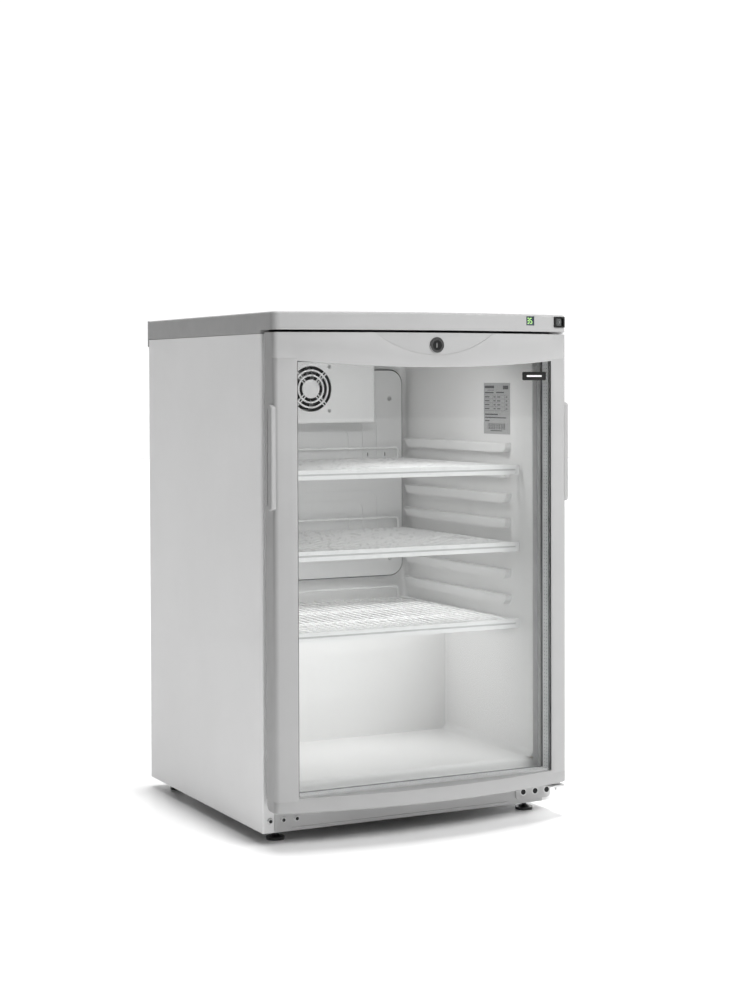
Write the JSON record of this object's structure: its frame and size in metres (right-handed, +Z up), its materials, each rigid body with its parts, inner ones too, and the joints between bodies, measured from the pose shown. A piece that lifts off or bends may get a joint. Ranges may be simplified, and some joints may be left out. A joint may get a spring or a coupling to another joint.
{
  "type": "under counter display fridge",
  "caption": "Under counter fridge with a bowed glass door, wire shelves, a rear fan box and a grey worktop with a display and a switch.",
  "frame": {"origin": "middle of the base of the whole fridge, on the floor", "axes": "+Z up, the door faces -Y, +X to the right seen from the front, the hinge side"},
  "size_m": [0.548, 0.5992, 0.845],
  "materials": {
    "white_steel": "smooth white powder coat",
    "galvanised": "galvanised sheet",
    "foam": "cut polyurethane foam",
    "white_liner": "vacuum formed, satin",
    "silver_plastic": "silver-grey moulded plastic, satin",
    "white_laminate": "smooth",
    "dark_window": "smoked window",
    "black_plastic": "fine texture",
    "grey_rocker": "translucent",
    "zinc_steel": "zinc plated",
    "evaporator_white": "epoxy coated",
    "white_plastic": "satin",
    "lamp_lens": "opal",
    "pipe_copper": "drawn copper",
    "compressor_black": "black enamel",
    "black_rubber": "matt",
    "label_film": "blank silver film",
    "clear_glass": "clear",
    "spacer_aluminium": "mill finish",
    "white_gasket": "soft vinyl",
    "chrome": "polished",
    "white_wire": "epoxy coated wire",
    "light_bracket": "grey coat"
  },
  "bodies": {
    "cabinet": {"side_panel_left": "white_steel", "side_panel_right": "white_steel", "rear_panel": "white_steel", "compressor_bay": "galvanised", "foam_insulation": "foam", "inner_liner": "white_liner", "plinth": "white_steel", "base_tray": "galvanised", "worktop_frame": "silver_plastic", "worktop_panel": "white_laminate", "display_window": "dark_window", "thermostat_controller": "black_plastic", "switch_bezel": "black_plastic", "bottom_hinge_bracket": "light_bracket", "bottom_hinge_pin": "zinc_steel", "top_hinge_bracket": "light_bracket", "front_screws": "zinc_steel", "evaporator_plate": "evaporator_white", "interior_screws": "zinc_steel", "temperature_probe": "black_plastic", "fan_housing": "white_plastic", "fan_frame": "black_plastic", "light_housing": "white_plastic", "light_lens": "lamp_lens", "drain_tube": "white_plastic", "drip_tray": "black_plastic", "compressor": "compressor_black", "compressor_mounts": "black_rubber", "relay_box": "black_plastic", "condenser_coil": "compressor_black", "coil_brackets": "galvanised", "filter_dryer": "pipe_copper", "refrigerant_pipes": "pipe_copper", "power_inlet": "black_plastic", "rating_label": "label_film"},
    "door": {"door_header": "silver_plastic", "door_stile_left": "silver_plastic", "door_stile_right": "silver_plastic", "door_bottom_rail": "silver_plastic", "door_lock_inset": "silver_plastic", "door_handle_left": "silver_plastic", "door_handle_right": "silver_plastic", "outer_glass": "clear_glass", "inner_glass": "clear_glass", "glass_spacer": "spacer_aluminium", "door_gasket": "white_gasket", "lock_bezel": "chrome", "door_hinge_bushes": "white_plastic", "badge_plate": "black_plastic"},
    "lock_cylinder": {"lock_plug": "black_plastic", "lock_cam": "zinc_steel"},
    "shelf_top": {"shelf_1": "white_wire"},
    "shelf_middle": {"shelf_2": "white_wire"},
    "shelf_bottom": {"shelf_3": "white_wire"},
    "fan_wheel": {"fan_rotor": "black_plastic"},
    "rocker": {"switch_rocker": "grey_rocker"},
    "foot_fl": {"foot_front_left": "black_rubber"},
    "foot_fr": {"foot_front_right": "black_rubber"},
    "foot_rl": {"foot_rear_left": "black_rubber"},
    "foot_rr": {"foot_rear_right": "black_rubber"}
  },
  "joints": [
    {"name": "door_hinge", "type": "hinge", "parent": "cabinet", "child": "door", "pos_m": [0.257, -0.2454, 0.435], "axis": [0, 0, 1], "range_deg": [0, 115]},
    {"name": "lock_turn", "type": "hinge", "parent": "door", "child": "lock_cylinder", "pos_m": [0, -0.2724, 0.7926], "axis": [0, -1, 0], "range_deg": [0, 90]},
    {"name": "shelf_top_slide", "type": "slide", "parent": "cabinet", "child": "shelf_top", "axis": [0, -1, 0], "range_m": [0, 0.048]},
    {"name": "shelf_middle_slide", "type": "slide", "parent": "cabinet", "child": "shelf_middle", "axis": [0, -1, 0], "range_m": [0, 0.048]},
    {"name": "shelf_bottom_slide", "type": "slide", "parent": "cabinet", "child": "shelf_bottom", "axis": [0, -1, 0], "range_m": [0, 0.048]},
    {"name": "fan_spin", "type": "hinge", "parent": "cabinet", "child": "fan_wheel", "pos_m": [0, 0.1916, 0.7214], "axis": [0, 1, 0], "continuous": true},
    {"name": "switch_rock", "type": "hinge", "parent": "cabinet", "child": "rocker", "pos_m": [0.24994, -0.25895, 0.833], "axis": [0, 0, -1], "range_deg": [0, 16]},
    {"name": "foot_fl_level", "type": "slide", "parent": "cabinet", "child": "foot_fl", "axis": [0, 0, -1], "range_m": [0, 0.012]},
    {"name": "foot_fr_level", "type": "slide", "parent": "cabinet", "child": "foot_fr", "axis": [0, 0, -1], "range_m": [0, 0.012]},
    {"name": "foot_rl_level", "type": "slide", "parent": "cabinet", "child": "foot_rl", "axis": [0, 0, -1], "range_m": [0, 0.012]},
    {"name": "foot_rr_level", "type": "slide", "parent": "cabinet", "child": "foot_rr", "axis": [0, 0, -1], "range_m": [0, 0.012]}
  ]
}
